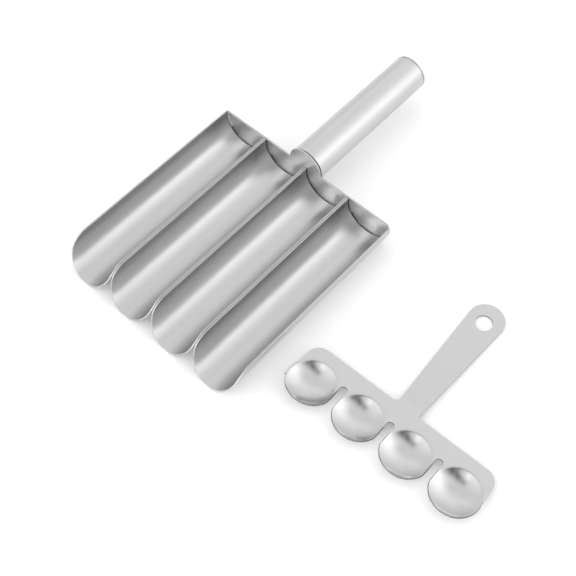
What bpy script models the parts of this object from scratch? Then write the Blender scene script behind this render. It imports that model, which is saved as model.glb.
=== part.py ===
# Meatball scoop and its cutter, in satin stainless steel.
# The scoop is four half-round troughs side by side on a back plate with a
# welded tube handle. The cutter is one stamped sheet with four bowls, lying
# beside the scoop on its bowls and the tip of its handle.
# Units are metres, +Z is up and the table is z = 0. The scoop's handle
# points along +Y. While the pieces are made, x = 0 is the scoop's middle and
# y = 0 the front face of its back plate. At the end the whole set moves so
# that the origin lies at the centre of the bottom of its bounding box.

import math

import bmesh
import bpy
from mathutils import Matrix, Vector
from mathutils.geometry import delaunay_2d_cdt


# Clearance between pieces that touch or are welded
GAP = 0.0003

# Colours and roughness of the sheet metal and of the weld beads
SHEET_COLOUR = (0.62, 0.62, 0.62)
SHEET_ROUGHNESS = 0.30
WELD_COLOUR = (0.52, 0.51, 0.50)
WELD_ROUGHNESS = 0.45

# Edges that bend more than this stay sharp in the shading
SHARP_ANGLE = math.radians(30)

# Troughs
TROUGH_COUNT = 4
TROUGH_PITCH = 0.0320
TROUGH_LENGTH = 0.1334
TROUGH_SHEET = 0.0008
WALL_HEIGHT = 0.0029
MOUTH_BOW = 0.0123
MOUTH_CORNER = 0.0062
TROUGH_COLUMNS = 33
MOUTH_CORNER_COLUMNS = 6

# Back plate and its round tab behind the handle's foot
PLATE_THICKNESS = 0.0010
PLATE_SHORTFALL = 0.0019
PLATE_CORNER = 0.0010
CUSP_FILLET = 0.0030
TAB_MARGIN = 0.0003
TAB_OFFSET = -0.0006
TAB_DROP = 0.0005
PLATE_ARC_STEPS = 28
CUSP_STEPS = 6
PLATE_CORNER_STEPS = 3

# Tube handle, its end cap and its foot weld
TUBE_DIAMETER = 0.0226
TUBE_WALL = 0.0010
TUBE_LENGTH = 0.0946
TUBE_RISE = 0.0015
TUBE_SIDES = 64
CAP_THICKNESS = 0.0014
CAP_EDGE = 0.0005
FOOT_WELD = 0.0008
FOOT_WELD_ANGLE = math.radians(72)
FOOT_WELD_STEPS = 24

# Weld tacks
TACK_LENGTH = 0.0080
TACK_HEIGHT = 0.0024
TACK_TOP_WIDTH = 0.0003
TACK_PLACE_SHARES = (0.08, 0.48, 0.82)
PLATE_TACK = 0.0008
PLATE_TACK_ANGLES = (math.radians(28), math.radians(50))
PLATE_TACK_STEPS = 6

# Cutter blank: its fingers go into the troughs and its slots over their walls
CUTTER_SHEET = 0.0008
PITCH_EASE = 0.0008
SLOT_CLEARANCE = 0.0028
SLOT_REACH = 0.0096
FINGER_SWELL = 0.00065
FRONT_TRIM = 0.0007
END_SWELL = 0.0010
SIDE_TRIM = 0.0005
BOWL_INSET = 0.00025
BOWL_DEPTH = 0.0050
BOWL_LIP = 0.0030
CUTTER_BACK = 0.0211
CUTTER_CORNER = 0.0082
FINGER_STEPS = 20
SLOT_STEPS = 10
SLOT_END_STEPS = 10
CUTTER_CORNER_STEPS = 8
CUTTER_SIDE_STEPS = 4
BOWL_RINGS = 6
LIP_RINGS = 3
RING_SIDES = (12, 24, 36)

# Cutter handle
ROOT_FILLET_LEFT = 0.0026
ROOT_FILLET_RIGHT = 0.0008
NECK_LENGTH = 0.0007
NECK_WIDTH = 0.0142
BLADE_LENGTH = 0.0682
BLADE_WIDTH = 0.0209
HANDLE_OFFSET = 0.0012
HANG_HOLE_RADIUS = 0.0050
HANG_HOLE_SETBACK = 0.0024
BEND_ANGLE = math.radians(3.4)
BEND_LENGTH = 0.0016
HANDLE_TIP_STEPS = 24
HANG_HOLE_STEPS = 28
ROOT_FILLET_STEPS = 5

# Where the cutter lies beside the scoop
CUTTER_SPACING = 0.0123
CUTTER_FORWARD = 0.0952
CUTTER_TURN = math.radians(1.6)

# Worked out from the sizes above
TROUGH_RADIUS = (TROUGH_PITCH - GAP) / 2
TROUGH_HEIGHT = TROUGH_RADIUS + WALL_HEIGHT
MIDDLE_INDEX = (TROUGH_COUNT - 1) / 2
SCOOP_HALF = MIDDLE_INDEX * TROUGH_PITCH + TROUGH_RADIUS
TUBE_RADIUS = TUBE_DIAMETER / 2
TUBE_HEIGHT = TROUGH_HEIGHT + TUBE_RISE
TUBE_FOOT = PLATE_THICKNESS + GAP
TUBE_TIP = TUBE_FOOT + TUBE_LENGTH
TAB_RADIUS = TUBE_RADIUS + TAB_MARGIN
TAB_RISE = TUBE_RISE - TAB_DROP
CUTTER_PITCH = TROUGH_PITCH - PITCH_EASE
SLOT_WIDTH = 2 * TROUGH_SHEET + GAP + SLOT_CLEARANCE
SLOT_SIDE = (CUTTER_PITCH - SLOT_WIDTH) / 2
FINGER_HALF = SLOT_SIDE + FINGER_SWELL
FINGER_REACH = FINGER_HALF - FRONT_TRIM
CUTTER_SIDE = FINGER_HALF - SIDE_TRIM
END_FINGER_HALF = FINGER_HALF + END_SWELL
CUTTER_HALF = MIDDLE_INDEX * CUTTER_PITCH + FINGER_HALF
BEND_PLACE = CUTTER_BACK + ROOT_FILLET_LEFT + NECK_LENGTH + BEND_LENGTH / 2
BOWL_RADIUS = SLOT_SIDE - BOWL_INSET
BOWL_SPHERE = (BOWL_RADIUS ** 2 + BOWL_DEPTH ** 2) / (2 * BOWL_DEPTH)
SPHERE_HEIGHT = BOWL_SPHERE - BOWL_DEPTH
LIP_CENTRE = math.sqrt((BOWL_SPHERE + BOWL_LIP) ** 2 - (SPHERE_HEIGHT + BOWL_LIP) ** 2)
LIP_START = LIP_CENTRE * BOWL_SPHERE / (BOWL_SPHERE + BOWL_LIP)


def steel(name, colour, roughness):
    """A plain metal material."""
    material = bpy.data.materials.new(f"{name}_steel")
    material.use_nodes = True
    shader = material.node_tree.nodes["Principled BSDF"]
    shader.inputs["Base Color"].default_value = (*colour, 1.0)
    shader.inputs["Roughness"].default_value = roughness
    shader.inputs["Metallic"].default_value = 1.0
    return material


def sheet_steel(name):
    return steel(name, SHEET_COLOUR, SHEET_ROUGHNESS)


def weld_steel(name):
    return steel(name, WELD_COLOUR, WELD_ROUGHNESS)


def add_object(name, bm, material, location=(0.0, 0.0, 0.0), closed=True):
    """Turn a bmesh into a named object with smooth shading and sharp edges."""
    if closed:
        bmesh.ops.recalc_face_normals(bm, faces=bm.faces)
    mesh = bpy.data.meshes.new(name)
    bm.to_mesh(mesh)
    bm.free()
    mesh.materials.append(material)
    mesh.shade_smooth()
    mesh.set_sharp_from_angle(angle=SHARP_ANGLE)
    obj = bpy.data.objects.new(name, mesh)
    obj.location = location
    bpy.context.scene.collection.objects.link(obj)
    return obj


def add_sheet_thickness(obj, thickness):
    """Thicken an open surface behind the side that its normals show."""
    solidify = obj.modifiers.new("sheet", "SOLIDIFY")
    solidify.thickness = thickness
    solidify.offset = -1.0
    solidify.use_quality_normals = True


def arc(centre, radius, start, end, steps):
    """Points on an arc in a plane, both ends included."""
    points = []
    for i in range(steps + 1):
        angle = start + (end - start) * i / steps
        points.append(Vector((centre[0] + radius * math.cos(angle),
                              centre[1] + radius * math.sin(angle))))
    return points


def corner_arc(before, corner, after, radius, steps):
    """The fillet that rounds a corner between two straight edges."""
    into = (before - corner).normalized()
    out = (after - corner).normalized()
    half = into.angle(out) / 2
    centre = corner + (into + out).normalized() * radius / math.sin(half)
    first = corner + into * radius / math.tan(half) - centre
    last = corner + out * radius / math.tan(half) - centre
    turn = first.angle_signed(last)
    points = []
    for i in range(steps + 1):
        points.append(centre + Matrix.Rotation(-turn * i / steps, 2) @ first)
    return points


def prism(bm, outline, depth_vector):
    """Extrude a closed outline of 3D points into a solid inside bm."""
    face = bm.faces.new([bm.verts.new(point) for point in outline])
    grown = bmesh.ops.extrude_face_region(bm, geom=[face])
    moved = [item for item in grown["geom"] if isinstance(item, bmesh.types.BMVert)]
    bmesh.ops.translate(bm, verts=moved, vec=depth_vector)


def turned(bm, profile, sides):
    """Spin a profile of (radius, y) points once round the Y axis.

    A profile that starts away from the axis is a loop and makes a ring.
    """
    line = [bm.verts.new((radius, y, 0.0)) for radius, y in profile]
    edges = [bm.edges.new(pair) for pair in zip(line, line[1:])]
    if profile[0][0] > 0.0:
        edges.append(bm.edges.new((line[-1], line[0])))
    bmesh.ops.spin(bm, geom=line + edges, cent=(0, 0, 0), axis=(0, 1, 0),
                   angle=math.tau, steps=sides, use_merge=True)
    bmesh.ops.remove_doubles(bm, verts=bm.verts, dist=GAP / 100)


def bead(bm, section, first, last, steps):
    """Sweep a (radius, y) section round the Y axis, angles from straight down."""
    rings = []
    for i in range(steps + 1):
        angle = first + (last - first) * i / steps
        ring = []
        for radius, y in section:
            ring.append(bm.verts.new((radius * math.sin(angle), y, -radius * math.cos(angle))))
        rings.append(ring)
    for one, two in zip(rings, rings[1:]):
        for i in range(len(section)):
            j = (i + 1) % len(section)
            bm.faces.new((one[i], one[j], two[j], two[i]))
    bm.faces.new(rings[0])
    bm.faces.new(rings[-1])


# Troughs

def section_half_girth():
    """Half the trough's outer girth, from its bottom line to a top edge."""
    return TROUGH_RADIUS * math.pi / 2 + WALL_HEIGHT


def section_point(girth, radius):
    """The section point at a distance along the girth from the bottom line."""
    angle = max(-math.pi / 2, min(math.pi / 2, girth / TROUGH_RADIUS))
    wall = max(0.0, abs(girth) - TROUGH_RADIUS * math.pi / 2)
    return radius * math.sin(angle), TROUGH_RADIUS - radius * math.cos(angle) + wall


def mouth_line(girth):
    """The y of the trough's front edge: bowed, with round corners on top."""
    half = section_half_girth()
    into_corner = min(MOUTH_CORNER, max(0.0, abs(girth) - (half - MOUTH_CORNER)))
    corner = MOUTH_CORNER - math.sqrt(MOUTH_CORNER ** 2 - into_corner ** 2)
    return -TROUGH_LENGTH + MOUTH_BOW * (girth / half) ** 2 + corner


def girth_places():
    """Columns across the sheet, closer together in the round corners."""
    half = section_half_girth()
    straight = half - MOUTH_CORNER
    places = []
    for i in range(TROUGH_COLUMNS + 1):
        places.append(straight * (2 * i / TROUGH_COLUMNS - 1))
    corners = []
    for i in range(1, MOUTH_CORNER_COLUMNS + 1):
        turn = math.pi / 2 * i / MOUTH_CORNER_COLUMNS
        corners.append(straight + MOUTH_CORNER * math.sin(turn))
    return [-place for place in reversed(corners)] + places + corners


def make_trough(index, material):
    """One half-pipe trough, open in front and on top."""
    bm = bmesh.new()
    front = []
    back = []
    for girth in girth_places():
        x, z = section_point(girth, TROUGH_RADIUS)
        front.append(bm.verts.new((x, mouth_line(girth), z)))
        back.append(bm.verts.new((x, -GAP, z)))
    for i in range(len(front) - 1):
        bm.faces.new((front[i], back[i], back[i + 1], front[i + 1]))
    place = (index - MIDDLE_INDEX) * TROUGH_PITCH
    obj = add_object(f"trough_{index + 1}", bm, material, (place, 0.0, 0.0), closed=False)
    add_sheet_thickness(obj, TROUGH_SHEET)
    return obj


# Back plate

def plate_outline():
    """The plate's outline in (x, z): tab on top, scallops below."""
    left = -SCOOP_HALF
    right = SCOOP_HALF - PLATE_SHORTFALL
    foot = math.asin(TAB_RISE / TAB_RADIUS)
    tab_centre = (TAB_OFFSET, TROUGH_HEIGHT + TAB_RISE)
    points = [Vector((left, TROUGH_HEIGHT))]
    points += arc(tab_centre, TAB_RADIUS, math.pi + foot, -foot, PLATE_ARC_STEPS)
    top_right = Vector((right, TROUGH_HEIGHT))
    under = Vector((right, TROUGH_RADIUS))
    points += corner_arc(points[-1], top_right, under, PLATE_CORNER, PLATE_CORNER_STEPS)
    reach = TROUGH_RADIUS + CUSP_FILLET
    drop = math.sqrt(reach ** 2 - (TROUGH_PITCH / 2) ** 2)
    lean = math.atan2(drop, TROUGH_PITCH / 2)
    for index in reversed(range(TROUGH_COUNT)):
        centre = ((index - MIDDLE_INDEX) * TROUGH_PITCH, TROUGH_RADIUS)
        start = -lean
        end = lean - math.pi
        if index == TROUGH_COUNT - 1:
            start = -math.acos((right - centre[0]) / TROUGH_RADIUS)
        if index == 0:
            end = -math.pi
        points += arc(centre, TROUGH_RADIUS, start, end, PLATE_ARC_STEPS)
        if index > 0:
            cusp = (centre[0] - TROUGH_PITCH / 2, TROUGH_RADIUS - drop)
            points += arc(cusp, CUSP_FILLET, lean, math.pi - lean, CUSP_STEPS)[1:-1]
    return points


def make_back_plate(material):
    bm = bmesh.new()
    outline = [Vector((point.x, 0.0, point.y)) for point in plate_outline()]
    prism(bm, outline, Vector((0.0, PLATE_THICKNESS, 0.0)))
    bmesh.ops.triangulate(bm, faces=bm.faces)
    return add_object("back_plate", bm, material)


# Tube handle

def make_tube(material):
    bm = bmesh.new()
    inner = TUBE_RADIUS - TUBE_WALL
    turned(bm, [(TUBE_RADIUS, TUBE_FOOT), (TUBE_RADIUS, TUBE_TIP),
                (inner, TUBE_TIP), (inner, TUBE_FOOT)], TUBE_SIDES)
    return add_object("handle_tube", bm, material, (0.0, 0.0, TUBE_HEIGHT))


def make_end_cap(material):
    bm = bmesh.new()
    inside = TUBE_TIP + GAP
    outside = inside + CAP_THICKNESS
    turned(bm, [(0.0, inside), (TUBE_RADIUS, inside), (TUBE_RADIUS, outside - CAP_EDGE),
                (TUBE_RADIUS - CAP_EDGE, outside), (0.0, outside)], TUBE_SIDES)
    return add_object("handle_end_cap", bm, material, (0.0, 0.0, TUBE_HEIGHT))


def make_foot_weld(material):
    """The bead round the lower half of the tube's foot."""
    bm = bmesh.new()
    inner = TUBE_RADIUS + GAP
    middle = FOOT_WELD * math.sqrt(0.5)
    section = [(inner, TUBE_FOOT), (inner + FOOT_WELD, TUBE_FOOT),
               (inner + middle, TUBE_FOOT + middle), (inner, TUBE_FOOT + FOOT_WELD)]
    bead(bm, section, -FOOT_WELD_ANGLE, FOOT_WELD_ANGLE, FOOT_WELD_STEPS)
    return add_object("handle_weld", bm, material, (0.0, 0.0, TUBE_HEIGHT))


# Welds between the troughs and to the plate

def make_seam_weld(seam, share, name, material):
    """A short tack in the groove under two troughs' touching walls."""
    bm = bmesh.new()
    touching = (TROUGH_PITCH - TACK_TOP_WIDTH) / 2 - GAP
    top = TROUGH_RADIUS - math.sqrt(TROUGH_RADIUS ** 2 - touching ** 2)
    outline = []
    for z in (top, top - TACK_HEIGHT / 2, top - TACK_HEIGHT):
        dip = (TROUGH_RADIUS - z) / TROUGH_RADIUS
        room = TROUGH_PITCH / 2 - TROUGH_RADIUS * math.sqrt(1 - dip ** 2)
        outline.append((room - GAP, z))
    right = [Vector((half, 0.0, z)) for half, z in outline]
    left = [Vector((-half, 0.0, z)) for half, z in reversed(outline)]
    prism(bm, right + left, Vector((0.0, -TACK_LENGTH, 0.0)))
    place = ((seam + 0.5 - MIDDLE_INDEX) * TROUGH_PITCH, -TROUGH_LENGTH * share, 0.0)
    return add_object(name, bm, material, place)


def make_plate_weld(index, side, name, material):
    """A bead where a trough's outside meets the edge of the plate."""
    bm = bmesh.new()
    inner = TROUGH_RADIUS + GAP
    front = -PLATE_TACK
    back = PLATE_THICKNESS
    section = [(inner, front), (inner + PLATE_TACK, (front + back) / 2), (inner, back)]
    first, last = PLATE_TACK_ANGLES
    bead(bm, section, side * first, side * last, PLATE_TACK_STEPS)
    place = ((index - MIDDLE_INDEX) * TROUGH_PITCH, 0.0, TROUGH_RADIUS)
    return add_object(name, bm, material, place)


def make_trough_welds():
    """All tacks between the troughs and between troughs and plate."""
    made = []
    for seam in range(TROUGH_COUNT - 1):
        for share in TACK_PLACE_SHARES:
            name = f"seam_weld_{len(made) + 1}"
            made.append(make_seam_weld(seam, share, name, weld_steel(name)))
    seams = len(made)
    for index in range(TROUGH_COUNT):
        for side in (-1, 1):
            name = f"plate_weld_{len(made) - seams + 1}"
            made.append(make_plate_weld(index, side, name, weld_steel(name)))
    return made


# Cutter

def bowl_centres():
    return [(i - MIDDLE_INDEX) * CUTTER_PITCH for i in range(TROUGH_COUNT)]


def bowl_level(distance):
    """Height of the sheet at a distance from a bowl's middle."""
    if distance >= LIP_CENTRE:
        return 0.0
    if distance > LIP_START:
        return math.sqrt(BOWL_LIP ** 2 - (LIP_CENTRE - distance) ** 2) - BOWL_LIP
    return SPHERE_HEIGHT - math.sqrt(BOWL_SPHERE ** 2 - distance ** 2)


def finger_front(middle, start, end, left_half):
    """The flattened arc round the front of a finger, with its left half's width."""
    points = []
    for point in arc((0.0, 0.0), 1.0, start, end, FINGER_STEPS):
        half = left_half if point.x < 0.0 else FINGER_HALF
        points.append(Vector((middle + point.x * half, point.y * FINGER_REACH)))
    return points


def side_points(side, finger_half):
    """Up the cutter's straight side, from an end finger to the corner."""
    low = FINGER_REACH * math.sqrt(1 - (CUTTER_SIDE / finger_half) ** 2)
    high = CUTTER_BACK - CUTTER_CORNER
    points = []
    for i in range(1, CUTTER_SIDE_STEPS):
        points.append(Vector((side, low + (high - low) * i / CUTTER_SIDE_STEPS)))
    return points


def slot_outline(middle):
    """Up one side of a slot, round its end and down the other side."""
    half = SLOT_WIDTH / 2
    start = -FINGER_REACH * math.sqrt(1 - (SLOT_SIDE / FINGER_HALF) ** 2)
    end = SLOT_REACH - half
    rise = [start + (end - start) * i / SLOT_STEPS for i in range(1, SLOT_STEPS)]
    points = [Vector((middle - half, y)) for y in rise]
    points += arc((middle, end), half, math.pi, 0.0, SLOT_END_STEPS)
    points += [Vector((middle + half, y)) for y in reversed(rise)]
    return points


def blank_outline():
    """The blank's outline, counterclockwise, with the handle straight."""
    centres = bowl_centres()
    cut = math.acos(SLOT_SIDE / FINGER_HALF)
    left_cut = math.acos(CUTTER_SIDE / END_FINGER_HALF)
    right_cut = math.acos(CUTTER_SIDE / FINGER_HALF)
    side = centres[-1] + CUTTER_SIDE
    corner_y = CUTTER_BACK - CUTTER_CORNER
    square = math.pi / 2
    points = []
    for i, x in enumerate(centres):
        start = math.pi - left_cut if i == 0 else math.pi + cut
        end = math.tau + right_cut if i == TROUGH_COUNT - 1 else math.tau - cut
        points += finger_front(x, start, end, END_FINGER_HALF if i == 0 else FINGER_HALF)
        if i < TROUGH_COUNT - 1:
            points += slot_outline(x + CUTTER_PITCH / 2)
    points += side_points(side, FINGER_HALF)
    corner = (side - CUTTER_CORNER, corner_y)
    points += arc(corner, CUTTER_CORNER, 0.0, square, CUTTER_CORNER_STEPS)
    points += handle_outline()
    corner = (CUTTER_CORNER - side, corner_y)
    points += arc(corner, CUTTER_CORNER, square, math.pi, CUTTER_CORNER_STEPS)
    points += reversed(side_points(-side, END_FINGER_HALF))
    return points


def half_width(y):
    """Half the handle's width, which grows from the neck to the tip."""
    share = (y - BEND_PLACE) / BLADE_LENGTH
    return (NECK_WIDTH + (BLADE_WIDTH - NECK_WIDTH) * share) / 2


def bend_lines():
    """Places along the handle where the sheet is bent."""
    return [BEND_PLACE + BEND_LENGTH * step for step in (-0.5, 0.0, 0.5)]


def handle_outline():
    """From the handle's right root round its tip to its left root."""
    tip = BEND_PLACE + BLADE_LENGTH
    lean = math.atan2(half_width(tip) - half_width(BEND_PLACE), BLADE_LENGTH)
    radius = half_width(tip) * math.cos(lean)
    root = CUTTER_BACK
    right = Vector((HANDLE_OFFSET + half_width(root), root))
    left = Vector((HANDLE_OFFSET - half_width(root), root))
    upper_right = Vector((HANDLE_OFFSET + half_width(tip), tip))
    upper_left = Vector((HANDLE_OFFSET - half_width(tip), tip))
    aside = Vector((BLADE_WIDTH, 0.0))
    points = corner_arc(right + aside, right, upper_right, ROOT_FILLET_RIGHT, ROOT_FILLET_STEPS)
    points += [Vector((HANDLE_OFFSET + half_width(y), y)) for y in bend_lines()]
    points += arc((HANDLE_OFFSET, tip), radius, -lean, math.pi + lean, HANDLE_TIP_STEPS)
    points += [Vector((HANDLE_OFFSET - half_width(y), y)) for y in reversed(bend_lines())]
    points += corner_arc(upper_left, left, left - aside, ROOT_FILLET_LEFT, ROOT_FILLET_STEPS)
    return points


def inside_outline(point, outline):
    """Whether a point lies inside a closed outline."""
    inside = False
    for a, b in zip(outline, outline[1:] + outline[:1]):
        if (a.y > point.y) != (b.y > point.y):
            if point.x < a.x + (b.x - a.x) * (point.y - a.y) / (b.y - a.y):
                inside = not inside
    return inside


def edge_distance(point, outline):
    """How far a point lies from the nearest edge of a closed outline."""
    best = math.inf
    for a, b in zip(outline, outline[1:] + outline[:1]):
        run = b - a
        along = max(0.0, min(1.0, (point - a).dot(run) / run.length_squared))
        best = min(best, (point - a - run * along).length)
    return best


def bowl_points(outline):
    """Rings of points that carry the bowls' curve inside the blank."""
    ring_sizes = [BOWL_RADIUS * i / BOWL_RINGS for i in range(1, BOWL_RINGS)]
    lip = LIP_CENTRE - LIP_START
    ring_sizes += [LIP_START + lip * i / LIP_RINGS for i in range(LIP_RINGS + 1)]
    points = []
    for x in bowl_centres():
        points.append(Vector((x, 0.0)))
        for number, size in enumerate(ring_sizes):
            sides = RING_SIDES[min(number, len(RING_SIDES) - 1)]
            for point in arc((x, 0.0), size, 0.0, math.tau, sides)[:-1]:
                if not inside_outline(point, outline):
                    continue
                if edge_distance(point, outline) < lip / 4:
                    continue
                if all(abs(point.x - other) >= abs(point.x - x) for other in bowl_centres()):
                    points.append(point)
    return points


def bent(point, level):
    """Carry a point of the flat blank round the handle's bend."""
    start = BEND_PLACE - BEND_LENGTH / 2
    past = point.y - start
    if past <= 0.0:
        return Vector((point.x, point.y, level))
    turned_by = BEND_ANGLE * min(1.0, past / BEND_LENGTH)
    radius = BEND_LENGTH / BEND_ANGLE
    beyond = max(0.0, past - BEND_LENGTH)
    y = start + radius * math.sin(turned_by) + beyond * math.cos(turned_by)
    z = radius * (1 - math.cos(turned_by)) + beyond * math.sin(turned_by)
    return Vector((point.x, y, z))


def cutter_surface():
    """The cutter's upper surface as a bmesh, in its own level frame."""
    outline = blank_outline()
    hole_y = BEND_PLACE + BLADE_LENGTH - HANG_HOLE_SETBACK
    hole_centre = Vector((HANDLE_OFFSET, hole_y))
    hole = arc(hole_centre, HANG_HOLE_RADIUS, math.tau, 0.0, HANG_HOLE_STEPS)[:-1]
    points = list(outline)
    edges = [(i, (i + 1) % len(outline)) for i in range(len(outline))]
    first = len(points)
    points += hole
    edges += [(first + i, first + (i + 1) % len(hole)) for i in range(len(hole))]
    for y in bend_lines():
        near = sorted(range(len(outline)), key=lambda i: abs(outline[i].y - y))[:2]
        edges.append((near[0], near[1]))
    points += bowl_points(outline)
    flat, _, triangles, _, _, _ = delaunay_2d_cdt(points, edges, [], 0, GAP / 1000)
    bm = bmesh.new()
    verts = []
    for point in flat:
        level = min(bowl_level((point - Vector((x, 0.0))).length) for x in bowl_centres())
        verts.append(bm.verts.new(bent(point, level)))
    for triangle in triangles:
        middle = sum((flat[i] for i in triangle), Vector((0.0, 0.0))) / 3
        in_hole = (middle - hole_centre).length < HANG_HOLE_RADIUS
        if inside_outline(middle, outline) and not in_hole:
            bm.faces.new([verts[i] for i in triangle])
    loose = [vert for vert in bm.verts if not vert.link_faces]
    bmesh.ops.delete(bm, geom=loose, context="VERTS")
    return bm


def lowest(points, tilt):
    """Lowest point after the front is raised by the tilt."""
    return min(point.z * math.cos(tilt) - point.y * math.sin(tilt) for point in points)


def resting_tilt(points):
    """The tilt at which the bowls and the handle's tip touch the table."""
    bowls = [point for point in points if point.y < CUTTER_BACK]
    blade = [point for point in points if point.y > BEND_PLACE + BLADE_LENGTH / 2]
    low = 0.0
    high = math.pi / 4
    for _ in range(40):
        tilt = (low + high) / 2
        if lowest(blade, tilt) > lowest(bowls, tilt):
            low = tilt
        else:
            high = tilt
    return (low + high) / 2


def make_cutter(material):
    bm = cutter_surface()
    obj = add_object("cutter", bm, material, closed=False)
    add_sheet_thickness(obj, CUTTER_SHEET)
    bpy.context.view_layer.update()
    solid = obj.evaluated_get(bpy.context.evaluated_depsgraph_get()).data
    points = [vert.co.copy() for vert in solid.vertices]
    tilt = resting_tilt(points)
    obj.rotation_euler = (-tilt, 0.0, CUTTER_TURN)
    aside = SCOOP_HALF + CUTTER_SPACING + CUTTER_HALF
    obj.location = (aside, -CUTTER_FORWARD, -lowest(points, tilt))
    return obj


# The whole set

def bounds(objects):
    """Lowest and highest corner of the solids in world space."""
    graph = bpy.context.evaluated_depsgraph_get()
    low = Vector((math.inf,) * 3)
    high = Vector((-math.inf,) * 3)
    for obj in objects:
        solid = obj.evaluated_get(graph)
        for vert in solid.data.vertices:
            place = solid.matrix_world @ vert.co
            for axis in range(3):
                low[axis] = min(low[axis], place[axis])
                high[axis] = max(high[axis], place[axis])
    return low, high


def main():
    for old in list(bpy.data.objects):
        bpy.data.objects.remove(old, do_unlink=True)
    pieces = []
    for index in range(TROUGH_COUNT):
        pieces.append(make_trough(index, sheet_steel(f"trough_{index + 1}")))
    pieces.append(make_back_plate(sheet_steel("back_plate")))
    pieces.append(make_tube(sheet_steel("handle_tube")))
    pieces.append(make_end_cap(sheet_steel("handle_end_cap")))
    pieces.append(make_foot_weld(weld_steel("handle_weld")))
    pieces += make_trough_welds()
    pieces.append(make_cutter(sheet_steel("cutter")))
    bpy.context.view_layer.update()
    low, high = bounds(pieces)
    shift = Vector((-(low.x + high.x) / 2, -(low.y + high.y) / 2, -low.z))
    for piece in pieces:
        piece.location += shift
    bpy.context.view_layer.update()


main()
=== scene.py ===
# Looks of the meatball scoop and its cutter: fine meshes, satin stainless
# steel, a white table and soft studio light.
# Lengths are metres in the frame's own space. Shapes are worked out from the
# boxes of the frame's nodes and from the named sizes below.

import math

import bmesh
import bpy
import numpy as np
from mathutils import Matrix, Vector
from mathutils.geometry import delaunay_2d_cdt


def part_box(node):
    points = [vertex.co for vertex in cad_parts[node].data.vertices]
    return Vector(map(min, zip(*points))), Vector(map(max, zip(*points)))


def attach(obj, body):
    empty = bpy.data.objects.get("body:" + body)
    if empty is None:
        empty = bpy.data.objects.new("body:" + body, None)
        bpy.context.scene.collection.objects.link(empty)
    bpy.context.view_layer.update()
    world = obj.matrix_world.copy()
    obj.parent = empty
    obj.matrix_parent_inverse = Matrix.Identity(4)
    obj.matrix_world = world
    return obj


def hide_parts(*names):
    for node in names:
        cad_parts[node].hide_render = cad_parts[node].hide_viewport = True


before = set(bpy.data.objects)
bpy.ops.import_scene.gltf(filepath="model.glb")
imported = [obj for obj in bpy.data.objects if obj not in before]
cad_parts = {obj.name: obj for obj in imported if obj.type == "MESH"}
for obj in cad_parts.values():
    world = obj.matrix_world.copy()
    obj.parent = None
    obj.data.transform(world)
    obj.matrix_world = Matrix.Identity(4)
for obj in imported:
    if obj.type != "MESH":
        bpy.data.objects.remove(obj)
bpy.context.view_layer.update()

# Rounding of sharp edges: of solid pieces, of the troughs' rims and of the cutter
EDGE_ROUND = 0.00013
RIM_ROUND = 0.00024
CUT_ROUND = 0.00020
ROUND_FROM_ANGLE = math.radians(50)
ROUND_SEGMENTS = 2

# Troughs
TROUGH_SHEET = 0.0008
MOUTH_BOW = 0.0123
MOUTH_CORNER = 0.0062
TROUGH_COLUMNS = 84
MOUTH_CORNER_COLUMNS = 14
TROUGH_ROWS = 30
TROUGH_COUNT = 4

# Back plate: points that are one, faces that are one flat face, and how far a
# face may look forwards or backwards and still be a cut edge
PLATE_MERGE = 0.0000013
FLAT_ANGLE = math.radians(1)
EDGE_FACE_LIMIT = 0.5

# Tube handle
TUBE_WALL = 0.0010
TUBE_SIDES = 128
TUBE_ROWS = 30
CAP_ROUND = 0.0006
CAP_ROUND_STEPS = 8
CAP_CROWN = 0.0002
CAP_RINGS = 10

# Weld beads
RIPPLE_PITCH = 0.0007
RIPPLE_SHARE = 0.16
RIPPLE_STEPS = 8
BEAD_SIDES = 12
BEAD_END_SHARE = 0.2
SEAM_BEAD_COUNT = 9
SEAM_BEAD_SHARE = 0.8
PLATE_BEAD_COUNT = 8
PLATE_BEAD_SHARE = 0.36
PLATE_BEAD_SINK = 0.7
FOOT_BEAD_SINK = 0.6

# Cutter, in its own level frame: x along the bowls, y towards the handle's tip
CUTTER_ASIDE = 0.13685
CUTTER_FORWARD = 0.0952
CUTTER_SHEET = 0.0008
CUTTER_PITCH = 0.0312
BOWL_COUNT = 4
BOWL_RADIUS = 0.0138
BOWL_DEPTH = 0.0048
BOWL_LIP = 0.0003
POLISH_FADE = 0.0006
FINGER_HALF = 0.0139
FINGER_REACH = 0.0132
END_FINGER_HALF = 0.0149
CUTTER_SIDE = 0.0134
SLOT_WIDTH = 0.0047
SLOT_REACH = 0.0096
CUTTER_BACK = 0.0211
CUTTER_CORNER = 0.0082
ROOT_FILLET_LEFT = 0.0026
ROOT_FILLET_RIGHT = 0.0008
BEND_START = 0.0244
BEND_LENGTH = 0.0016
BEND_ANGLE = math.radians(3.4)
BLADE_START = 0.0252
BLADE_LENGTH = 0.0682
NECK_WIDTH = 0.0142
BLADE_WIDTH = 0.0209
HANDLE_OFFSET = 0.0012
HANG_HOLE_RADIUS = 0.0050
HANG_HOLE_SETBACK = 0.0024
OUTLINE_STEP = 0.0006
BLANK_MERGE = 0.0000006
RING_STEP = 0.0005
RINGS_BEYOND = 3
RING_SIDES_LEAST = 12
RING_SIDES_STEP = 6
ROUND_STEPS = 72
CORNER_STEPS = 24
SLOT_STEPS = 18
LEFT_FILLET_STEPS = 12
RIGHT_FILLET_STEPS = 6
BEND_STEPS = 4
LEVEL_ENOUGH = 0.9

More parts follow.
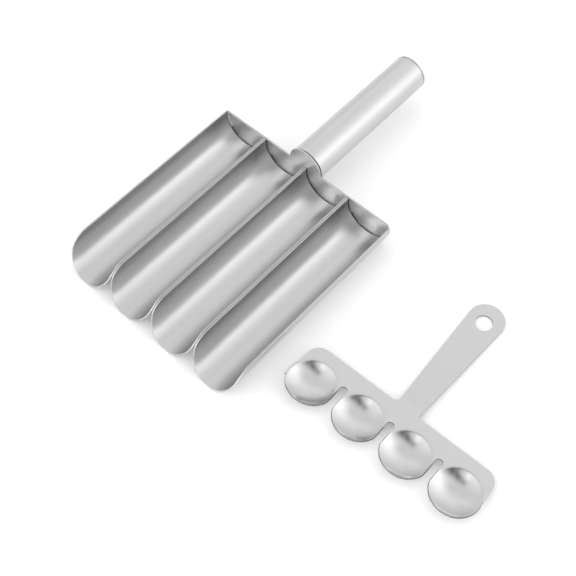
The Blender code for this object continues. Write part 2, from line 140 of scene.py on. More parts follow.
# Steel
TROUGH_COLOUR = (0.57, 0.57, 0.57)
PLATE_COLOUR = (0.84, 0.84, 0.84)
TUBE_COLOUR = (0.58, 0.58, 0.58)
CUTTER_COLOUR = (0.57, 0.57, 0.57)
WELD_COLOUR = (0.46, 0.455, 0.44)
RIM_COLOUR = (0.48, 0.48, 0.48)
# Painted highlight: the rounding of the troughs' rims is near white steel
EDGE_HIGHLIGHT_COLOUR = (0.97, 0.97, 0.97)
EDGE_ROUGHNESS = 0.30
# Near black steel on the cutter's cut edges and their rounding: painted dark reflection and shade
CUT_PAINTED_SHADE_COLOUR = (0.20, 0.20, 0.20)
RIM_ROUGHNESS = 0.45
# Painted shade and dark reflection where the troughs meet the plate: the line's width, its
# darkness, and how faint it is on each trough's right
PAINTED_SHADE_WIDTH = 0.0005
PAINTED_SHADE_DARKNESS = 0.85
PAINTED_SHADE_FADE = 0.35
GRAIN_ALONG = (3000.0, 80.0, 3000.0)
GRAIN_ACROSS = (80.0, 3000.0, 3000.0)
GRAIN_EVEN = (900.0, 900.0, 900.0)
STREAKS_ALONG = (260.0, 9.0, 260.0)
STREAKS_EVEN = (200.0, 200.0, 200.0)
CLOUD_SCALES = (60.0, 60.0, 60.0)
GRAIN_DETAIL = 2.0
STREAK_DETAIL = 3.0
CLOUD_DETAIL = 4.0
NOISE_ROUGHNESS = 0.6
NOISE_LOW = 0.3
NOISE_HIGH = 0.7
GRAIN_DEPTH = 0.00005
GRAIN_BUMP = 0.03
WELD_BUMP = 0.2
FINISH_SPREAD = 0.04
CUTTER_SPREAD = 0.015
BOWL_ROUGHNESS = 0.09
TROUGH_ROUGHNESS = 0.30
PLATE_ROUGHNESS = 0.36
TUBE_ROUGHNESS = 0.36
CAP_ROUGHNESS = 0.36
WELD_ROUGHNESS = 0.42
CUTTER_ROUGHNESS = 0.30

# Camera, measured from the middle of the scoop's top edges at the plate
CAMERA_PLACE = Vector((0.24530, -0.28759, 0.49776))
CAMERA_LEAN = math.radians(30.743)
CAMERA_TURN = math.radians(42.015)
CAMERA_LENS = 66.695
SENSOR_WIDTH = 36.0

# Light: an even level all round, with soft lamps added and dark flags, the
# ones with a negative level, taken away. Each is (azimuth, elevation,
# sharpness, level), azimuth from +Y towards +X, in degrees.
PLAIN_LEVEL = 0.79
BIG_SOFTBOX = (50.0, 36.0, 4.0, 0.93)
SOFTBOX_CORE = (66.0, 25.0, 30.0, 0.72)
LEFT_LAMP = (319.0, 30.0, 10.0, 0.45)
NEAR_WALL = (196.0, 8.0, 3.0, 1.65)
LEFT_LOW_FLAG = (317.0, 9.0, 16.0, -0.20)
LEFT_HIGH_FLAG = (322.0, 30.0, 35.0, -0.20)
TOP_FLAG = (44.0, 62.0, 18.0, -0.34)
RIGHT_LOW_FLAG = (99.0, 33.0, 23.0, -1.13)
RIGHT_HIGH_FLAG = (107.0, 54.0, 60.0, -0.54)
CEILING_FLAG_START = (136.0, 67.0, 60.0, -0.73)
CEILING_FLAG_END = (190.0, 72.0, 60.0, -0.70)
NEAR_FLAG = (156.0, 48.0, 15.0, -1.34)
CEILING_LAMP_RIGHT = (150.0, 60.0, 60.0, 0.95)
CEILING_LAMP_NEAR = (187.0, 64.0, 60.0, 0.95)
LAMPS = (
    BIG_SOFTBOX, SOFTBOX_CORE, LEFT_LAMP, NEAR_WALL, LEFT_LOW_FLAG, LEFT_HIGH_FLAG, TOP_FLAG,
    RIGHT_LOW_FLAG, RIGHT_HIGH_FLAG, CEILING_FLAG_START, CEILING_FLAG_END, NEAR_FLAG,
    CEILING_LAMP_RIGHT, CEILING_LAMP_NEAR,
)
FLOOR_SIZE = 6.0
FLOOR_COLOUR = (0.92, 0.92, 0.92)
CAMERA_GLOW = 0.15
GLOSS_GLOW = 0.15

# Worked out
MIDDLE_INDEX = (BOWL_COUNT - 1) / 2
SLOT_SIDE = (CUTTER_PITCH - SLOT_WIDTH) / 2


# Frame places

def scoop_origin():
    """Middle of the scoop's top edges at the front face of the plate."""
    first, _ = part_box("trough_1")
    _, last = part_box("trough_4")
    plate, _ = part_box("back_plate")
    return Vector(((first[0] + last[0]) / 2, plate[1], last[2]))


ORIGIN = scoop_origin()


# Node helpers

def new_material(name):
    """A node material, its tree and its main shader."""
    material = bpy.data.materials.new(name)
    material.use_nodes = True
    tree = material.node_tree
    return material, tree, tree.nodes["Principled BSDF"]


def feed(tree, socket, value):
    """Set a socket to a number or a tuple, or link another node's output to it."""
    if isinstance(value, bpy.types.NodeSocket):
        tree.links.new(value, socket)
    else:
        socket.default_value = value


def compute(tree, operation, *values):
    """The result of a math node on numbers and other nodes' outputs."""
    node = tree.nodes.new("ShaderNodeMath")
    node.operation = operation
    for socket, value in zip(node.inputs, values):
        feed(tree, socket, value)
    return node.outputs["Value"]


def compute_vector(tree, operation, *values):
    """The number that a vector math node gives."""
    node = tree.nodes.new("ShaderNodeVectorMath")
    node.operation = operation
    for socket, value in zip(node.inputs, values):
        feed(tree, socket, value)
    return node.outputs["Value"]


def ramp(tree, value, start, end, low=0.0, high=1.0, smooth=False):
    """Map the range from start to end onto the range from low to high."""
    node = tree.nodes.new("ShaderNodeMapRange")
    if smooth:
        node.interpolation_type = "SMOOTHSTEP"
    for socket, number in zip(node.inputs, (value, start, end, low, high)):
        feed(tree, socket, number)
    return node.outputs["Result"]


def object_place(tree):
    """A point's place in its own object."""
    return tree.nodes.new("ShaderNodeTexCoord").outputs["Object"]


def noise(tree, scales, detail):
    """A noise over the piece with its own scale along each axis."""
    spread = tree.nodes.new("ShaderNodeMapping")
    feed(tree, spread.inputs["Vector"], object_place(tree))
    feed(tree, spread.inputs["Scale"], scales)
    cloud = tree.nodes.new("ShaderNodeTexNoise")
    feed(tree, cloud.inputs["Vector"], spread.outputs["Vector"])
    feed(tree, cloud.inputs["Scale"], 1.0)
    feed(tree, cloud.inputs["Detail"], detail)
    feed(tree, cloud.inputs["Roughness"], NOISE_ROUGHNESS)
    return cloud.outputs["Fac"]


def spread_noise(tree, value, middle, half_range):
    """Spread the noise's usual values over a range about a middle."""
    return ramp(tree, value, NOISE_LOW, NOISE_HIGH, middle - half_range, middle + half_range)


# Steel

def grain_steel(name, colour, roughness, grain=GRAIN_EVEN, streaks=STREAKS_EVEN, bump=GRAIN_BUMP,
                spread=FINISH_SPREAD, polish=None, seam=None):
    """Satin steel: hairline grain, soft streaks along it and faint clouding.

    Where a polish is given, the mesh's attribute "polish" leads from the
    piece's own roughness to that one. A seam is a function that gives the mask
    of a painted dark line: painted shade and dark reflection where the troughs
    meet the plate.
    """
    material, tree, shader = new_material(name)
    hairs = noise(tree, grain, GRAIN_DETAIL)
    bands = noise(tree, streaks, STREAK_DETAIL)
    clouds = noise(tree, CLOUD_SCALES, CLOUD_DETAIL)
    rough = compute(tree, "ADD", spread_noise(tree, hairs, 0.0, spread / 2),
                    spread_noise(tree, bands, roughness, spread / 2))
    rough = compute(tree, "ADD", rough, spread_noise(tree, clouds, 0.0, spread / 3))
    if polish is not None:
        shine = tree.nodes.new("ShaderNodeAttribute")
        shine.attribute_name = "polish"
        rough = compute(tree, "MULTIPLY_ADD", shine.outputs["Fac"], polish - roughness, rough)
    bright = spread_noise(tree, bands, 1.0, spread)
    # Painted shade: the seam mask darkens the colour
    if seam is not None:
        dark = compute(tree, "MULTIPLY", seam(tree), PAINTED_SHADE_DARKNESS)
        bright = compute(tree, "MULTIPLY", bright, compute(tree, "SUBTRACT", 1.0, dark))
    paint = tree.nodes.new("ShaderNodeVectorMath")
    paint.operation = "SCALE"
    feed(tree, paint.inputs["Vector"], colour)
    feed(tree, paint.inputs["Scale"], bright)
    relief = tree.nodes.new("ShaderNodeBump")
    feed(tree, relief.inputs["Strength"], bump)
    feed(tree, relief.inputs["Distance"], GRAIN_DEPTH)
    feed(tree, relief.inputs["Height"], hairs)
    feed(tree, shader.inputs["Metallic"], 1.0)
    feed(tree, shader.inputs["Base Color"], paint.outputs["Vector"])
    feed(tree, shader.inputs["Roughness"], rough)
    feed(tree, shader.inputs["Normal"], relief.outputs["Normal"])
    return material


def painted_shade_place(tree):
    """How far aside a point lies from its own trough's middle, its y and z, and
    the painted shade's strength there: full on the trough's left, faint on its right."""
    low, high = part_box("trough_1")
    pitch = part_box("trough_2")[0][0] - low[0]
    middle = (low[0] + high[0]) / 2
    split = tree.nodes.new("ShaderNodeSeparateXYZ")
    feed(tree, split.inputs["Vector"], object_place(tree))
    aside = compute(tree, "WRAP", split.outputs["X"], middle + pitch / 2, middle - pitch / 2)
    aside = compute(tree, "SUBTRACT", aside, middle)
    fade = ramp(tree, aside, 0.0, pitch / 3, 1.0, PAINTED_SHADE_FADE)
    return aside, split.outputs["Y"], split.outputs["Z"], fade


def trough_painted_shade(tree):
    """Mask of the painted shade line at the troughs' back ends, where they meet the plate."""
    _, along, _, fade = painted_shade_place(tree)
    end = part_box("trough_1")[1][1]
    line = ramp(tree, along, end - PAINTED_SHADE_WIDTH, end - PAINTED_SHADE_WIDTH / 3, smooth=True)
    return compute(tree, "MULTIPLY", line, fade)


def plate_painted_shade(tree):
    """Mask of the painted shade and dark reflection line on the plate along the troughs' insides.
    """
    low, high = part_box("trough_1")
    radius = (high[0] - low[0]) / 2
    inside = radius - TROUGH_SHEET
    aside, _, up, fade = painted_shade_place(tree)
    under = compute(tree, "MINIMUM", compute(tree, "SUBTRACT", up, low[2] + radius), 0.0)
    flat = tree.nodes.new("ShaderNodeCombineXYZ")
    feed(tree, flat.inputs["X"], aside)
    feed(tree, flat.inputs["Z"], under)
    away = compute_vector(tree, "LENGTH", flat.outputs["Vector"])
    line = ramp(tree, away, inside - PAINTED_SHADE_WIDTH, inside, smooth=True)
    below = ramp(tree, up, high[2] - PAINTED_SHADE_WIDTH, high[2] - PAINTED_SHADE_WIDTH / 2, 1.0, 0.0)
    return compute(tree, "MULTIPLY", compute(tree, "MULTIPLY", line, below), fade)


# Mesh helpers

def add_piece(name, bm, material, place=None):
    """Turn a bmesh into a smooth object, moved to its place in the frame."""
    if place is not None:
        bm.transform(place)
    mesh = bpy.data.meshes.new(name)
    bm.to_mesh(mesh)
    bm.free()
    mesh.materials.append(material)
    mesh.shade_smooth()
    obj = bpy.data.objects.new(name, mesh)
    bpy.context.scene.collection.objects.link(obj)
    return obj


def settle(obj, body, node):
    """Attach a piece to its body and hide the frame's node that it stands for."""
    bpy.context.view_layer.update()
    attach(obj, body)
    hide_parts(node)


def round_edges(obj, width, finish=None):
    """Round the sharp edges a little, with flat faces left flat. A finish that
    is given goes on the rounding."""
    bevel = obj.modifiers.new("round", "BEVEL")
    bevel.width = width
    bevel.segments = ROUND_SEGMENTS
    bevel.limit_method = "ANGLE"
    bevel.angle_limit = ROUND_FROM_ANGLE
    bevel.harden_normals = True
    if finish is not None:
        obj.data.materials.append(finish)
        bevel.material = len(obj.data.materials) - 1


def thicken(obj, thickness, rim):
    """Thicken an open surface behind its front, with the given finish on the rim."""
    obj.data.materials.append(rim)
    solidify = obj.modifiers.new("sheet", "SOLIDIFY")
    solidify.thickness = thickness
    solidify.offset = -1.0
    solidify.use_quality_normals = True
    solidify.material_offset_rim = 1


def arc(centre, radius, start, end, steps):
    """Points on an arc in a plane, both ends included."""
    points = []
    for i in range(steps + 1):
        angle = start + (end - start) * i / steps
        points.append(Vector((centre[0] + radius * math.cos(angle),
                              centre[1] + radius * math.sin(angle))))
    return points


def corner_arc(before, corner, after, radius, steps):
    """The fillet that rounds a corner between two straight edges."""
    into = (before - corner).normalized()
    out = (after - corner).normalized()
    half = into.angle(out) / 2
    centre = corner + (into + out).normalized() * radius / math.sin(half)
    first = corner + into * radius / math.tan(half) - centre
    last = corner + out * radius / math.tan(half) - centre
    turn = first.angle_signed(last)
    return [centre + Matrix.Rotation(-turn * i / steps, 2) @ first for i in range(steps + 1)]


def turned(bm, profile, sides):
    """Spin a profile of (radius, y) points once round the Y axis. A profile
    that starts off the axis is a closed one."""
    rings = []
    for radius, y in profile:
        if radius == 0.0:
            rings.append([bm.verts.new((0.0, y, 0.0))])
            continue
        ring = []
        for i in range(sides):
            angle = math.tau * i / sides
            ring.append(bm.verts.new((radius * math.sin(angle), y, radius * math.cos(angle))))
        rings.append(ring)
    pairs = list(zip(rings, rings[1:]))
    if profile[0][0] > 0.0:
        pairs.append((rings[-1], rings[0]))
    for one, two in pairs:
        for i in range(sides):
            j = (i + 1) % sides
            corners = [one[i % len(one)], one[j % len(one)], two[j % len(two)], two[i % len(two)]]
            face = []
            for corner in corners:
                if corner not in face:
                    face.append(corner)
            bm.faces.new(face)
    bmesh.ops.recalc_face_normals(bm, faces=bm.faces)


# Troughs

def make_trough(name, material, rim, edge):
    """One half-pipe trough with rounded mouth corners and cut edges."""
    low, high = (Vector(corner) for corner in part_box(name))
    radius = (high.x - low.x) / 2
    wall = high.z - low.z - radius
    half = radius * math.pi / 2 + wall
    straight = half - MOUTH_CORNER
    places = [straight * (2 * i / TROUGH_COLUMNS - 1) for i in range(TROUGH_COLUMNS + 1)]
    corners = []
    for i in range(1, MOUTH_CORNER_COLUMNS + 1):
        corners.append(straight + MOUTH_CORNER * math.sin(math.pi / 2 * i / MOUTH_CORNER_COLUMNS))
    places = [-place for place in reversed(corners)] + places + corners
    bm = bmesh.new()
    rows = []
    for girth in places:
        angle = max(-math.pi / 2, min(math.pi / 2, girth / radius))
        rise = max(0.0, abs(girth) - radius * math.pi / 2)
        x = (low.x + high.x) / 2 + radius * math.sin(angle)
        z = low.z + radius - radius * math.cos(angle) + rise
        into = min(MOUTH_CORNER, max(0.0, abs(girth) - straight))
        corner = MOUTH_CORNER - math.sqrt(MOUTH_CORNER ** 2 - into ** 2)
        front = low.y + MOUTH_BOW * (girth / half) ** 2 + corner
        row = []
        for i in range(TROUGH_ROWS + 1):
            y = front + (high.y - front) * i / TROUGH_ROWS
            row.append(bm.verts.new((x, y, z)))
        rows.append(row)
    for one, two in zip(rows, rows[1:]):
        for i in range(TROUGH_ROWS):
            bm.faces.new((one[i], one[i + 1], two[i + 1], two[i]))
    obj = add_piece(name + "_sheet", bm, material)
    thicken(obj, TROUGH_SHEET, rim)
    # The rounding of the rims gets the near white edge steel: painted highlight lines
    round_edges(obj, RIM_ROUND, edge)
    settle(obj, "scoop", name)


# Back plate

def make_back_plate(material, rim):
    """The plate with its tab, as the frame has it, with rounded cut edges."""
    bm = bmesh.new()
    bm.from_mesh(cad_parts["back_plate"].data)
    bmesh.ops.remove_doubles(bm, verts=bm.verts, dist=PLATE_MERGE)
    bmesh.ops.dissolve_limit(bm, angle_limit=FLAT_ANGLE, verts=bm.verts, edges=bm.edges)
    for face in bm.faces:
        face.material_index = int(abs(face.normal.y) < EDGE_FACE_LIMIT)
    obj = add_piece("back_plate_sheet", bm, material)
    obj.data.materials.append(rim)
    round_edges(obj, EDGE_ROUND)
    settle(obj, "scoop", "back_plate")


# Tube handle

def make_tube(material):
    """The tube, open at its foot and at its tip."""
    low, high = (Vector(corner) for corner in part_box("handle_tube"))
    radius = (high.x - low.x) / 2
    inner = radius - TUBE_WALL
    bm = bmesh.new()
    outside = [(radius, low.y + (high.y - low.y) * i / TUBE_ROWS) for i in range(TUBE_ROWS + 1)]
    turned(bm, outside + [(inner, high.y), (inner, low.y)], TUBE_SIDES)
    place = Matrix.Translation(((low.x + high.x) / 2, 0.0, (low.z + high.z) / 2))
    obj = add_piece("handle_tube_wall", bm, material, place)
    round_edges(obj, EDGE_ROUND)
    settle(obj, "scoop", "handle_tube")


def make_end_cap(material):
    """The disc that closes the tube's tip, slightly crowned."""
    low, high = (Vector(corner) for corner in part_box("handle_end_cap"))
    radius = (high.x - low.x) / 2
    bm = bmesh.new()
    profile = [(0.0, low.y), (radius, low.y)]
    flat = radius - CAP_ROUND
    rounding = arc((flat, high.y - CAP_ROUND - CAP_CROWN), CAP_ROUND, 0.0, math.pi / 2,
                   CAP_ROUND_STEPS)
    profile += [tuple(point) for point in rounding]
    for i in range(CAP_RINGS - 1, -1, -1):
        share = i / CAP_RINGS
        profile.append((flat * share, high.y - CAP_CROWN * share ** 2))
    turned(bm, profile, TUBE_SIDES)
    place = Matrix.Translation(((low.x + high.x) / 2, 0.0, (low.z + high.z) / 2))
    obj = add_piece("handle_end_disc", bm, material, place)
    round_edges(obj, EDGE_ROUND)
    settle(obj, "scoop", "handle_end_cap")


# Weld beads

def make_bead(name, path, radii, material):
    """A rippled bead along a path, with rounded ends."""
    bm = bmesh.new()
    length = sum((b - a).length for a, b in zip(path, path[1:]))
    rings = []
    walked = 0.0
    for i, point in enumerate(path):
        ahead = path[min(i + 1, len(path) - 1)]
        behind = path[max(i - 1, 0)]
        along = (ahead - behind).normalized()
        if i > 0:
            walked += (point - path[i - 1]).length
        side = along.cross(Vector((0.0, 1.0, 0.0)))
        if side.length < BEAD_END_SHARE:
            side = Vector((1.0, 0.0, 0.0))
        side.normalize()
        up = side.cross(along).normalized()
        end = min(walked, length - walked) / min(radii[0], length / 2)
        swell = max(BEAD_END_SHARE, math.sqrt(1 - max(0.0, 1 - end) ** 2))
        ripple = (1 + math.cos(math.tau * walked / RIPPLE_PITCH)) / 2
        swell *= 1 - RIPPLE_SHARE * ripple ** 2
        ring = []
        for k in range(BEAD_SIDES):
            angle = math.tau * k / BEAD_SIDES
            offset = side * radii[0] * math.cos(angle) + up * radii[1] * math.sin(angle)
            ring.append(bm.verts.new(point + offset * swell))
        rings.append(ring)
    for one, two in zip(rings, rings[1:]):
        for k in range(BEAD_SIDES):
            j = (k + 1) % BEAD_SIDES
            bm.faces.new((one[k], one[j], two[j], two[k]))
    bm.faces.new(rings[0])
    bm.faces.new(rings[-1])
    bmesh.ops.recalc_face_normals(bm, faces=bm.faces)
    obj = add_piece(name + "_bead", bm, material)
    settle(obj, "scoop", name)


def make_seam_bead(name, material):
    """A tack along the groove under two troughs."""
    low, high = (Vector(corner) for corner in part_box(name))
    half = (high.x - low.x) / 2
    middle = (low + high) / 2
    steps = round((high.y - low.y) / RIPPLE_PITCH * RIPPLE_STEPS)
    path = []
    for i in range(steps + 1):
        path.append(Vector((middle.x, low.y + (high.y - low.y) * i / steps, middle.z)))
    make_bead(name, path, (half * SEAM_BEAD_SHARE, (high.z - low.z) / 2), material)


def make_arc_bead(name, centre, radius, start, end, thickness, material):
    """A bead on an arc round the Y axis, angles from straight down."""
    steps = round(abs(end - start) * radius / RIPPLE_PITCH * RIPPLE_STEPS)
    path = []
    for i in range(steps + 1):
        angle = start + (end - start) * i / steps
        path.append(centre + Vector((math.sin(angle), 0.0, -math.cos(angle))) * radius)
    make_bead(name, path, (thickness, thickness), material)


def make_plate_beads(material):
    """Two beads where each trough's outside meets the plate."""
    for number in range(PLATE_BEAD_COUNT):
        name = f"plate_weld_{number + 1}"
        low, high = (Vector(corner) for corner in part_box(name))
        trough_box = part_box(f"trough_{number // 2 + 1}")
        trough_low, trough_high = (Vector(corner) for corner in trough_box)
        radius = (trough_high.x - trough_low.x) / 2
        centre = Vector(((trough_low.x + trough_high.x) / 2, 0.0, trough_low.z + radius))
        nearer, farther = sorted((low.x - centre.x, high.x - centre.x), key=abs)
        thickness = (high.y - low.y) * PLATE_BEAD_SHARE
        start = math.asin(nearer / (radius + thickness))
        end = math.asin(farther / (radius + thickness))
        centre.y = (low.y + high.y) / 2
        path_radius = radius + thickness * PLATE_BEAD_SINK
        make_arc_bead(name, centre, path_radius, start, end, thickness, material)


def make_foot_bead(material):
    """The bead round the lower half of the tube's foot."""
    low, high = (Vector(corner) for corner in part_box("handle_weld"))
    tube_low, tube_high = (Vector(corner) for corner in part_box("handle_tube"))
    radius = (tube_high.x - tube_low.x) / 2
    centre = (tube_low + tube_high) / 2
    thickness = (high.y - low.y) / 2
    centre.y = low.y + thickness
    reach = math.asin(min(1.0, (high.x - centre.x) / (radius + 2 * thickness)))
    path_radius = radius + thickness * FOOT_BEAD_SINK
    make_arc_bead("handle_weld", centre, path_radius, -reach, reach, thickness, material)


# Cutter

def bowl_centres():
    """How far aside the bowls' middles lie."""
    return [(i - MIDDLE_INDEX) * CUTTER_PITCH for i in range(BOWL_COUNT)]


def bowl_level(distance):
    """Height of the sheet at a distance from a bowl's middle: a paraboloid that
    meets the level sheet in a soft lip."""
    rise = BOWL_DEPTH * ((distance / BOWL_RADIUS) ** 2 - 1.0)
    return (rise - math.hypot(rise, BOWL_LIP)) / 2


def spaced(points):
    """The same open line with points added so that no step is long."""
    fine = [points[0]]
    for a, b in zip(points, points[1:]):
        steps = max(1, math.ceil((b - a).length / OUTLINE_STEP))
        fine += [a.lerp(b, i / steps) for i in range(1, steps + 1)]
    return fine


def half_width(y):
    """Half the handle's width, which grows from the neck to the tip."""
    share = (y - BLADE_START) / BLADE_LENGTH
    return (NECK_WIDTH + (BLADE_WIDTH - NECK_WIDTH) * share) / 2


def bend_lines():
    """How far along the blank the lines across the handle's bend lie."""
    return [BEND_START + BEND_LENGTH * i / BEND_STEPS for i in range(BEND_STEPS + 1)]


def handle_outline():
    """From the handle's right root round its tip to its left root."""
    tip = BLADE_START + BLADE_LENGTH
    lean = math.atan2(half_width(tip) - half_width(BLADE_START), BLADE_LENGTH)
    radius = half_width(tip) * math.cos(lean)
    root = CUTTER_BACK
    right = Vector((HANDLE_OFFSET + half_width(root), root))
    left = Vector((HANDLE_OFFSET - half_width(root), root))
    upper_right = Vector((HANDLE_OFFSET + half_width(tip), tip))
    upper_left = Vector((HANDLE_OFFSET - half_width(tip), tip))
    aside = Vector((BLADE_WIDTH, 0.0))
    bends = bend_lines()
    points = corner_arc(right + aside, right, upper_right, ROOT_FILLET_RIGHT, RIGHT_FILLET_STEPS)
    points += [Vector((HANDLE_OFFSET + half_width(y), y)) for y in bends]
    points += arc((HANDLE_OFFSET, tip), radius, -lean, math.pi + lean, ROUND_STEPS)
    points += [Vector((HANDLE_OFFSET - half_width(y), y)) for y in reversed(bends)]
    points += corner_arc(upper_left, left, left - aside, ROOT_FILLET_LEFT, LEFT_FILLET_STEPS)
    return points


def blank_outline():
    """The blank's outline, counterclockwise, with the handle straight."""
    centres = bowl_centres()
    cut = math.acos(SLOT_SIDE / FINGER_HALF)
    left_cut = math.acos(CUTTER_SIDE / END_FINGER_HALF)
    right_cut = math.acos(CUTTER_SIDE / FINGER_HALF)
    side = centres[-1] + CUTTER_SIDE
    corner_y = CUTTER_BACK - CUTTER_CORNER
    slot_half = SLOT_WIDTH / 2
    slot_end = SLOT_REACH - slot_half
    points = []
    for i, x in enumerate(centres):
        start = math.pi - left_cut if i == 0 else math.pi + cut
        end = math.tau + right_cut if i == BOWL_COUNT - 1 else math.tau - cut
        for point in arc((0.0, 0.0), 1.0, start, end, ROUND_STEPS):
            half = END_FINGER_HALF if i == 0 and point.x < 0.0 else FINGER_HALF
            points.append(Vector((x + point.x * half, point.y * FINGER_REACH)))
        if i < BOWL_COUNT - 1:
            middle = x + CUTTER_PITCH / 2
            points += arc((middle, slot_end), slot_half, math.pi, 0.0, SLOT_STEPS)
    points += arc((side - CUTTER_CORNER, corner_y), CUTTER_CORNER, 0.0, math.pi / 2, CORNER_STEPS)
    points += handle_outline()
    points += arc((CUTTER_CORNER - side, corner_y), CUTTER_CORNER, math.pi / 2, math.pi,
                  CORNER_STEPS)
    return spaced(points + points[:1])[:-1]


def bent(point, level):
    """Carry a point of the flat blank round the handle's bend."""
    past = point.y - BEND_START
    if past <= 0.0:
        return Vector((point.x, point.y, level))
    turned_by = BEND_ANGLE * min(1.0, past / BEND_LENGTH)
    radius = BEND_LENGTH / BEND_ANGLE
    beyond = max(0.0, past - BEND_LENGTH)
    y = BEND_START + radius * math.sin(turned_by) + beyond * math.cos(turned_by)
    z = radius * (1 - math.cos(turned_by)) + beyond * math.sin(turned_by)
    return Vector((point.x, y, z))


def bowl_points():
    """Rings of points that carry the bowls' curve."""
    points = []
    for x in bowl_centres():
        points.append(Vector((x, 0.0)))
        rings = math.ceil(BOWL_RADIUS / RING_STEP)
        for number in range(1, rings + RINGS_BEYOND + 1):
            size = BOWL_RADIUS * number / rings
            sides = math.ceil(math.tau * size / RING_STEP / RING_SIDES_STEP) * RING_SIDES_STEP
            sides = max(RING_SIDES_LEAST, sides)
            for point in arc((x, 0.0), size, 0.0, math.tau, sides)[:-1]:
                if abs(point.x - x) <= CUTTER_PITCH / 2:
                    points.append(point)
    return points


def cutter_matrix():
    """Where the cutter lies: its level frame, read from the frame's solid."""
    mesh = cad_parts["cutter"].data
    low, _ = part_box("cutter")
    level_faces = []
    for face in mesh.polygons:
        if face.normal.z > LEVEL_ENOUGH and face.center.y < low[1] + 2 * CUTTER_BACK:
            level_faces.append(face)
    largest = max(level_faces, key=lambda face: face.area)
    normal = largest.normal.normalized()
    across = Vector((normal.y, -normal.x, 0.0)).normalized()
    along = normal.cross(across)
    place = ORIGIN + Vector((CUTTER_ASIDE, -CUTTER_FORWARD, 0.0))
    place.z = largest.center.z
    place.z -= ((place - largest.center).dot(normal)) / normal.z
    turn = Matrix((across, along, normal)).transposed().to_4x4()
    return Matrix.Translation(place) @ turn


def inside_outline(points, outline):
    """For each point, whether it lies inside a closed outline."""
    px = np.array([point.x for point in points])
    py = np.array([point.y for point in points])
    inside = np.zeros(len(points), dtype=bool)
    for a, b in zip(outline, outline[1:] + outline[:1]):
        if a.y == b.y:
            continue
        crosses = (a.y > py) != (b.y > py)
        left = px < a.x + (b.x - a.x) * (py - a.y) / (b.y - a.y)
        inside ^= crosses & left
    return inside


def make_cutter(material, rim):
    """The stamped sheet with its four bowls, slots and bent handle."""
    outline = blank_outline()
    hole_centre = Vector((HANDLE_OFFSET, BLADE_START + BLADE_LENGTH - HANG_HOLE_SETBACK))
    hole = arc(hole_centre, HANG_HOLE_RADIUS, math.tau, 0.0, ROUND_STEPS)[:-1]
    candidates = bowl_points()
    inner = inside_outline(candidates, outline)
    points = list(outline) + hole
    edges = [(i, (i + 1) % len(outline)) for i in range(len(outline))]
    first = len(outline)
    edges += [(first + i, first + (i + 1) % len(hole)) for i in range(len(hole))]
    for y in bend_lines():
        near = sorted(range(len(outline)), key=lambda k: abs(outline[k].y - y))[:2]
        edges.append((near[0], near[1]))
    grid = {(round(p.x / OUTLINE_STEP), round(p.y / OUTLINE_STEP)) for p in outline}
    for point, keep in zip(candidates, inner):
        cell = (round(point.x / OUTLINE_STEP), round(point.y / OUTLINE_STEP))
        if keep and cell not in grid:
            points.append(point)
    flat, _, triangles, _, _, _ = delaunay_2d_cdt(points, edges, [], 0, BLANK_MERGE)
    bm = bmesh.new()
    verts = []
    for point in flat:
        level = min(bowl_level((point - Vector((x, 0.0))).length) for x in bowl_centres())
        verts.append(bm.verts.new(bent(point, level)))
    middles = [sum((flat[i] for i in triangle), Vector((0.0, 0.0))) / 3 for triangle in triangles]
    for triangle, middle, keep in zip(triangles, middles, inside_outline(middles, outline)):
        if keep and (middle - hole_centre).length > HANG_HOLE_RADIUS:
            bm.faces.new([verts[i] for i in triangle])
    loose = [vert for vert in bm.verts if not vert.link_faces]
    bmesh.ops.delete(bm, geom=loose, context="VERTS")
    shine = bm.verts.layers.float.new("polish")
    for vert in bm.verts:
        away = min((vert.co.xy - Vector((x, 0.0))).length for x in bowl_centres())
        vert[shine] = max(0.0, min(1.0, (BOWL_RADIUS - away) / POLISH_FADE))
    obj = add_piece("cutter_sheet", bm, material, cutter_matrix())
    # The cut edges and their rounding take the near black steel: painted dark reflection and shade
    thicken(obj, CUTTER_SHEET, rim)
    round_edges(obj, CUT_ROUND, rim)
    settle(obj, "cutter", "cutter")


# Table, light and camera

def make_floor():
    """A white table that keeps the object's soft shadow."""
    bm = bmesh.new()
    bmesh.ops.create_grid(bm, x_segments=1, y_segments=1, size=FLOOR_SIZE / 2)
    mesh = bpy.data.meshes.new("floor")
    bm.to_mesh(mesh)
    bm.free()
    floor = bpy.data.objects.new("floor", mesh)
    bpy.context.scene.collection.objects.link(floor)
    material, tree, shader = new_material("white_table")
    rays = tree.nodes.new("ShaderNodeLightPath")
    glow = compute(tree, "MULTIPLY", rays.outputs["Is Camera Ray"], CAMERA_GLOW)
    glow = compute(tree, "MULTIPLY_ADD", rays.outputs["Is Glossy Ray"], GLOSS_GLOW, glow)
    feed(tree, shader.inputs["Base Color"], (*FLOOR_COLOUR, 1.0))
    feed(tree, shader.inputs["Roughness"], 1.0)
    feed(tree, shader.inputs["Specular IOR Level"], 0.0)
    feed(tree, shader.inputs["Emission Color"], (1.0, 1.0, 1.0, 1.0))
    feed(tree, shader.inputs["Emission Strength"], glow)
    mesh.materials.append(material)


def make_world():
    """A studio: a plain level all round, with the soft lamps and dark flags."""
    world = bpy.data.worlds.new("studio")
    bpy.context.scene.world = world
    world.use_nodes = True
    tree = world.node_tree
    towards = tree.nodes.new("ShaderNodeTexCoord").outputs["Generated"]
    total = PLAIN_LEVEL
    for azimuth, elevation, sharpness, level in LAMPS:
        turn = math.radians(azimuth)
        rise = math.radians(elevation)
        middle = (math.sin(turn) * math.cos(rise), math.cos(turn) * math.cos(rise), math.sin(rise))
        near = compute_vector(tree, "DOT_PRODUCT", towards, middle)
        fall = compute(tree, "MULTIPLY_ADD", near, sharpness, -sharpness)
        lobe = compute(tree, "EXPONENT", fall)
        total = compute(tree, "MULTIPLY_ADD", lobe, level, total)
    feed(tree, tree.nodes["Background"].inputs["Color"], compute(tree, "MAXIMUM", total, 0.0))


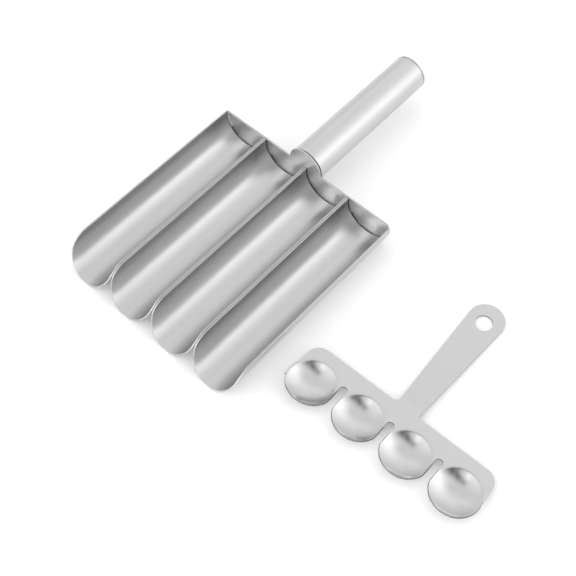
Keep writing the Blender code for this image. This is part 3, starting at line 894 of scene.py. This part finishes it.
def make_camera():
    """The camera at the photo's angle."""
    camera = bpy.data.cameras.new("camera")
    camera.lens = CAMERA_LENS
    camera.sensor_width = SENSOR_WIDTH
    camera.sensor_fit = "HORIZONTAL"
    obj = bpy.data.objects.new("camera", camera)
    obj.location = ORIGIN + CAMERA_PLACE
    obj.rotation_euler = (CAMERA_LEAN, 0.0, CAMERA_TURN)
    bpy.context.scene.collection.objects.link(obj)
    bpy.context.scene.camera = obj


def make_scoop():
    """The four troughs, the back plate, the tube handle and their welds."""
    rim = grain_steel("rim_steel", RIM_COLOUR, RIM_ROUGHNESS)
    # Near white steel for the rounding of the troughs' rims: painted highlight lines
    edge = grain_steel("edge_painted_highlight", EDGE_HIGHLIGHT_COLOUR, EDGE_ROUGHNESS)
    trough = grain_steel("trough_steel", TROUGH_COLOUR, TROUGH_ROUGHNESS, GRAIN_ALONG,
                         STREAKS_ALONG, seam=trough_painted_shade)
    plate = grain_steel("plate_steel", PLATE_COLOUR, PLATE_ROUGHNESS, GRAIN_ACROSS,
                        seam=plate_painted_shade)
    tube = grain_steel("handle_steel", TUBE_COLOUR, TUBE_ROUGHNESS, GRAIN_ALONG, STREAKS_ALONG)
    cap = grain_steel("cap_steel", TUBE_COLOUR, CAP_ROUGHNESS)
    weld = grain_steel("weld_steel", WELD_COLOUR, WELD_ROUGHNESS, bump=WELD_BUMP)
    for number in range(TROUGH_COUNT):
        make_trough(f"trough_{number + 1}", trough, rim, edge)
    make_back_plate(plate, rim)
    make_tube(tube)
    make_end_cap(cap)
    for number in range(SEAM_BEAD_COUNT):
        make_seam_bead(f"seam_weld_{number + 1}", weld)
    make_plate_beads(weld)
    make_foot_bead(weld)


def main():
    """Build the dressed part, its table, its light and its camera."""
    make_scoop()
    cutter = grain_steel("cutter_steel", CUTTER_COLOUR, CUTTER_ROUGHNESS, spread=CUTTER_SPREAD,
                         polish=BOWL_ROUGHNESS)
    # The cutter's cut edges get a near black steel: painted dark reflection and shade
    make_cutter(cutter, grain_steel("cut_edge_painted_shade", CUT_PAINTED_SHADE_COLOUR, RIM_ROUGHNESS))
    make_floor()
    make_world()
    make_camera()
    bpy.context.scene.view_settings.view_transform = "Standard"


main()
